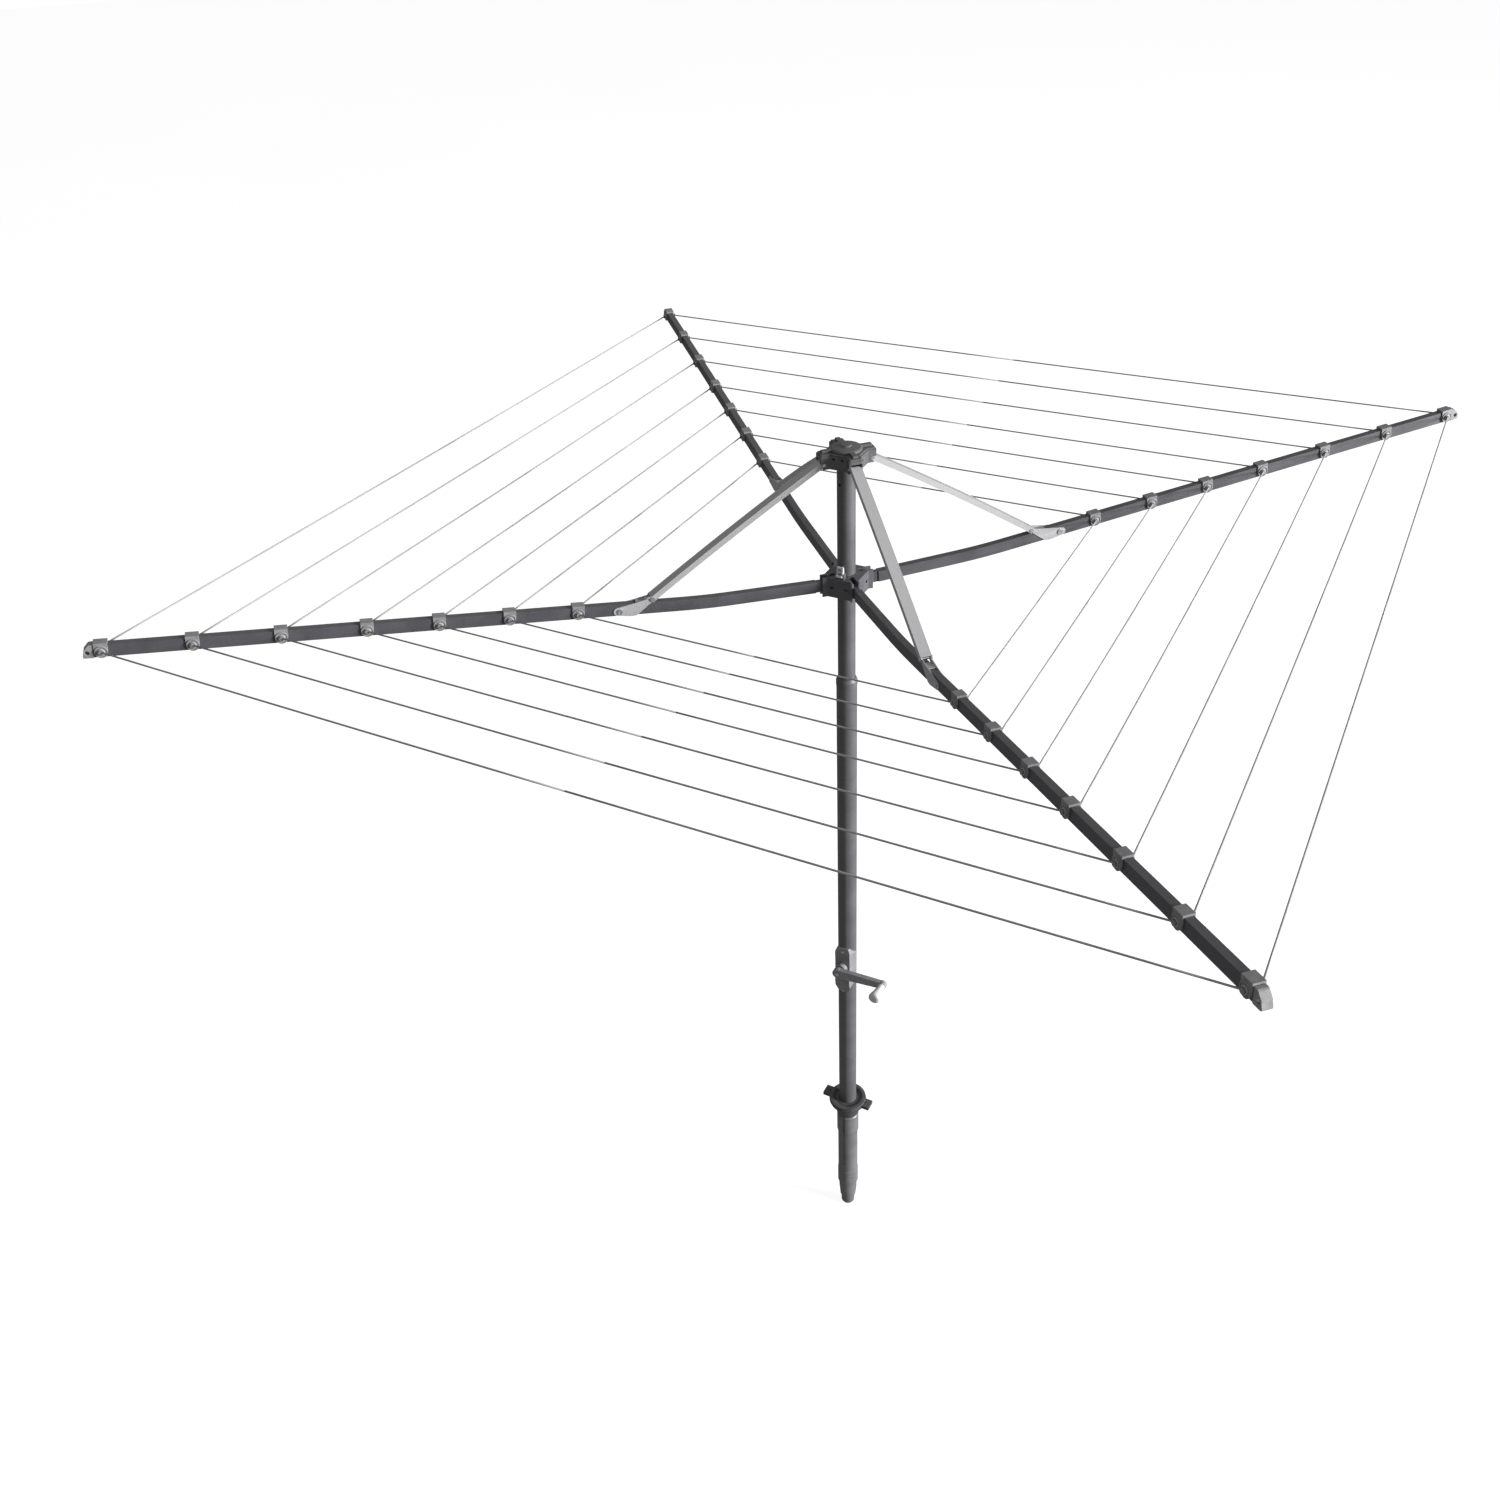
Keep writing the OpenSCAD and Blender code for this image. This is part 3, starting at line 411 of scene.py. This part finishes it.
lines_low, lines_high = (np.array(corner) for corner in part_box("lines_1"))
outer_reach = lines_high[0] - LINE_RADIUS * math.cos(math.pi / 4)
ring_number = np.arange(RINGS)
clip_reach = outer_reach - np.where(
    ring_number <= OUTER_RINGS, ring_number * OUTER_GAP,
    OUTER_RINGS * OUTER_GAP + (ring_number - OUTER_RINGS) * INNER_GAP)
low_line, high_line = lines_low[2] + LINE_RADIUS, lines_high[2] - LINE_RADIUS
clip_height = low_line + (clip_reach - clip_reach[-1]) / (clip_reach[0] - clip_reach[-1]) * (
    high_line - low_line)
peg_start = 2 * lines_high[1] - outer_reach - 2 * LINE_RADIUS * math.cos(math.pi / 4)
print("clips at", clip_reach.round(3), "heights", clip_height.round(3), "pegs", round(peg_start, 4))


def half_span(reach, height, side):
    """A path from a clip's peg to the middle of its span, in the arm's own directions.

    The span runs from (reach, peg) to (peg, reach), so its middle is the mean of the two. Its sag
    is SAG times (1 - (1 - t)^2), which is level at the middle and zero at the peg.
    """
    middle = (reach + peg_start) / 2
    path = (1 - STEPS) * [reach, side * peg_start, height] + STEPS * [middle, side * middle, height]
    path[:, 2] -= SAG * reach / clip_reach[0] * (1 - (1 - STEPS[:, 0]) ** 2)
    return path


def peg_turns(reach, height, side):
    """Two turns of line round a peg: a helix whose radius is the peg's and half the line's."""
    turn = np.linspace(0.0, 4 * np.pi, 33)
    radius = PEG_RADIUS + LINE_RADIUS
    lateral = side * (peg_start - PEG_SETBACK + PEG_ADVANCE * turn / (4 * np.pi))
    return np.stack([reach + radius * np.cos(turn), lateral,
                     height - PEG_DROP + radius * np.sin(turn)], axis=1)


# %% Swept tube
def swept_tube(path, radius, sides):
    """Vertices and faces of a closed tube along a path of points.

    Each ring is a circle square to the path there: centre plus radius times (cosine, sine) of the
    turn, on two directions that are square to the path's own. Both ends are closed with a face.
    """
    direction = np.gradient(path, axis=0)
    direction /= np.linalg.norm(direction, axis=1)[:, None]
    nearly_level = np.ptp(direction[:, 2]) < 0.1
    steady = np.array([0.0, 0.0, 1.0]) if nearly_level else np.array([0.0, 1.0, 0.0])
    side = np.cross(direction, steady)
    side /= np.linalg.norm(side, axis=1)[:, None]
    up = np.cross(side, direction)
    turn = (np.arange(sides) * 2 * np.pi / sides)[None, :, None]
    ring = radius * (np.cos(turn) * side[:, None, :] + np.sin(turn) * up[:, None, :])
    points = (path[:, None, :] + ring).reshape(-1, 3)
    row, column = np.meshgrid(np.arange(len(path) - 1), np.arange(sides), indexing="ij")
    first = row * sides + column
    second = row * sides + (column + 1) % sides
    walls = np.stack([first, second, second + sides, first + sides], axis=-1).reshape(-1, 4)
    ends = [list(range(sides))[::-1], list(range(len(points) - sides, len(points)))]
    return points, walls.tolist() + ends


def joined(pieces):
    """Joins (points, faces) pairs into one pair, moving each pair's face numbers along."""
    points, faces, count = [], [], 0
    for piece_points, piece_faces in pieces:
        points.append(piece_points)
        faces += [[corner + count for corner in face] for face in piece_faces]
        count += len(piece_points)
    return np.concatenate(points), faces


def add_mesh(name, points, faces, finish, body):
    """Puts points and faces in a new object at the origin, smooth, finished and riding on a body."""
    mesh = bpy.data.meshes.new(name)
    mesh.from_pydata(points.tolist(), [], faces)
    mesh.polygons.foreach_set("use_smooth", [True] * len(mesh.polygons))
    mesh.materials.append(finish)
    made = bpy.data.objects.new(name, mesh)
    bpy.context.scene.collection.objects.link(made)
    outward = bmesh.new()
    outward.from_mesh(mesh)
    bmesh.ops.recalc_face_normals(outward, faces=outward.faces)
    outward.to_mesh(mesh)
    outward.free()
    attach(made, body)
    return made


# %% Line finish
def line_finish():
    """A plastic coat over a twisted core: a fine diagonal wave stands in for the strands."""
    material = coating("line coating", (0.34, 0.34, 0.345), (0.42, 0.42, 0.425), (0.45, 0.45, 0.45),
                       0.38, grain=2500.0, bump=0.05, wear=0.0, dust=0.1, mottle=8.0)
    tree = material.node_tree
    place = tree.nodes.new("ShaderNodeTexCoord")
    strands = node(tree, "ShaderNodeTexWave", Scale=160.0, Distortion=0.6)
    strands.bands_direction = "DIAGONAL"
    link(tree, place.outputs["Object"], strands.inputs["Vector"])
    raised = [n for n in tree.nodes if n.type == "BUMP"][0]
    raised.inputs["Distance"].default_value = 0.0002
    link(tree, strands.outputs["Fac"], raised.inputs["Height"])
    return material


LINE_COAT = line_finish()

# %% Line on each arm
LINE_SIDES = 8
TURN_SHARE = 0.8        # the turns round a peg are pulled a little thinner than the span

HANDS = {-1: "right", 1: "left"}

for arm in ARMS:
    for side, hand in HANDS.items():
        tubes = []
        for reach, height in zip(clip_reach, clip_height):
            tubes.append(swept_tube(half_span(reach, height, side), LINE_RADIUS, LINE_SIDES))
            tubes.append(swept_tube(peg_turns(reach, height, side), LINE_RADIUS * TURN_SHARE,
                                    LINE_SIDES))
        points, faces = joined(tubes)
        turned = points[:, :1] * arm_direction(arm) + points[:, 1:2] * across(arm)
        turned[:, 2] = points[:, 2]
        piece = add_mesh(f"line_{arm}_{hand}", turned, faces, LINE_COAT, f"arm_{arm}")
        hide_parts(f"lines_{arm}")
        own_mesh(piece)
line_pieces = len(ARMS) * len(HANDS)
span_metres = float(sum((clip_reach - peg_start) * math.sqrt(2)) * len(ARMS))
print("line:", line_pieces, "pieces,", len(tubes) * line_pieces, "tubes,",
      round(span_metres, 1), "m in the spans")

# %% [markdown]
# ## Floor, light and camera
# A plain pale floor and soft studio light. The main light is a large panel, low and off to the
# right, so the mast has a bright right side and a dark left side, and flat tops stay dark. In a
# white room the bounce would wash those dark sides out. So the room and the floor look white to
# the camera and give the object less light than that, as black flags round a set would.

# %% Camera
camera_data = bpy.data.cameras.new("camera")
camera = bpy.data.objects.new("camera", camera_data)
bpy.context.scene.collection.objects.link(camera)
bpy.context.scene.camera = camera
CAMERA_PLACE = Vector((-1.1101, -2.9940, 3.5849))
CAMERA_RIGHT = Vector((0.95441, -0.29575, -0.04047))
CAMERA_UP = Vector((0.19940, 0.53076, 0.82373))
CAMERA_BACK = CAMERA_RIGHT.cross(CAMERA_UP)
camera.matrix_world = Matrix.Translation(CAMERA_PLACE) @ Matrix(
    (CAMERA_RIGHT, CAMERA_UP, CAMERA_BACK)).transposed().to_4x4()
camera_data.lens = 34.2065
camera_data.sensor_width = 36.0
camera_data.clip_end = 100.0
print("camera lens", camera_data.lens, "mm")

# %% Floor
FLOOR_DROP = 0.002
floor_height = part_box("ground_socket")[0][2] - FLOOR_DROP
FLOOR_REACH = 40.0
FLOOR_GLOW = 0.88


def floor_finish():
    """White to the camera, with a trace of shadow, and a mid-grey matt floor to everything else."""
    material = bpy.data.materials.new("pale floor")
    material.use_nodes = True
    tree = material.node_tree
    tree.nodes.remove(tree.nodes["Principled BSDF"])
    place = tree.nodes.new("ShaderNodeTexCoord")
    cloud = node(tree, "ShaderNodeTexNoise", Scale=0.3, Detail=2.0)
    link(tree, place.outputs["Object"], cloud.inputs["Vector"])
    tone = mix_colour(tree, cloud.outputs["Fac"], (0.28, 0.28, 0.28), (0.32, 0.32, 0.32))
    matt = tree.nodes.new("ShaderNodeBsdfDiffuse")
    link(tree, tone, matt.inputs["Color"])
    glow = node(tree, "ShaderNodeEmission", Color=(1.0, 1.0, 1.0, 1.0), Strength=FLOOR_GLOW)
    white = tree.nodes.new("ShaderNodeAddShader")
    link(tree, matt.outputs["BSDF"], white.inputs[0])
    link(tree, glow.outputs["Emission"], white.inputs[1])
    ray = tree.nodes.new("ShaderNodeLightPath")
    choice = tree.nodes.new("ShaderNodeMixShader")
    link(tree, ray.outputs["Is Camera Ray"], choice.inputs["Fac"])
    link(tree, matt.outputs["BSDF"], choice.inputs[1])
    link(tree, white.outputs["Shader"], choice.inputs[2])
    link(tree, choice.outputs["Shader"], tree.nodes["Material Output"].inputs["Surface"])
    return material


floor_mesh = bpy.data.meshes.new("floor")
corners = np.array([(-1, -1), (1, -1), (1, 1), (-1, 1)]) * FLOOR_REACH
floor_mesh.from_pydata([(x, y, floor_height) for x, y in corners], [], [(0, 1, 2, 3)])
floor_mesh.materials.append(floor_finish())
floor = bpy.data.objects.new("floor", floor_mesh)
bpy.context.scene.collection.objects.link(floor)
print("floor at", round(floor_height, 3))


# %% Lights
HEAD_MIDDLE = Vector((0.0, 0.0, 1.4))


def panel(name, azimuth, elevation, distance, width, power):
    """A square light panel that looks at the middle of the head from a bearing and a height."""
    light = bpy.data.lights.new(name, "AREA")
    light.shape = "SQUARE"
    light.size = width
    light.energy = power
    lamp = bpy.data.objects.new(name, light)
    bpy.context.scene.collection.objects.link(lamp)
    bearing, height = math.radians(azimuth), math.radians(elevation)
    place = Vector((math.cos(height) * math.cos(bearing), math.cos(height) * math.sin(bearing),
                    math.sin(height))) * distance
    lamp.location = HEAD_MIDDLE + place
    lamp.rotation_euler = (-place).to_track_quat("-Z", "Y").to_euler()
    return lamp


KEY_AZIMUTH, KEY_ELEVATION = -36, 10
KEY_DISTANCE, KEY_WIDTH = 16.0, 5.0
KEY_LEVEL = 6.8
panel("key", KEY_AZIMUTH, KEY_ELEVATION, KEY_DISTANCE, KEY_WIDTH,
      KEY_LEVEL * math.pi * KEY_DISTANCE ** 2)
print("key light gives", KEY_LEVEL, "watts on each square metre at the mast")


# %% World
def white_world(level):
    """A background that the camera sees as white and that lights the object at a lower level."""
    world = bpy.data.worlds.new("studio")
    world.use_nodes = True
    tree = world.node_tree
    shown = tree.nodes["Background"]
    shown.inputs["Color"].default_value = (1.0, 1.0, 1.0, 1.0)
    shown.inputs["Strength"].default_value = 1.0
    lighting = node(tree, "ShaderNodeBackground", Color=(1.0, 1.0, 1.0, 1.0), Strength=level)
    ray = tree.nodes.new("ShaderNodeLightPath")
    choice = tree.nodes.new("ShaderNodeMixShader")
    link(tree, ray.outputs["Is Camera Ray"], choice.inputs["Fac"])
    link(tree, lighting.outputs["Background"], choice.inputs[1])
    link(tree, shown.outputs["Background"], choice.inputs[2])
    link(tree, choice.outputs["Shader"], tree.nodes["World Output"].inputs["Surface"])
    return world


AMBIENT = 0.3
bpy.context.scene.world = white_world(AMBIENT)
bpy.context.scene.view_settings.view_transform = "Standard"
print("lights: one panel and a white world")
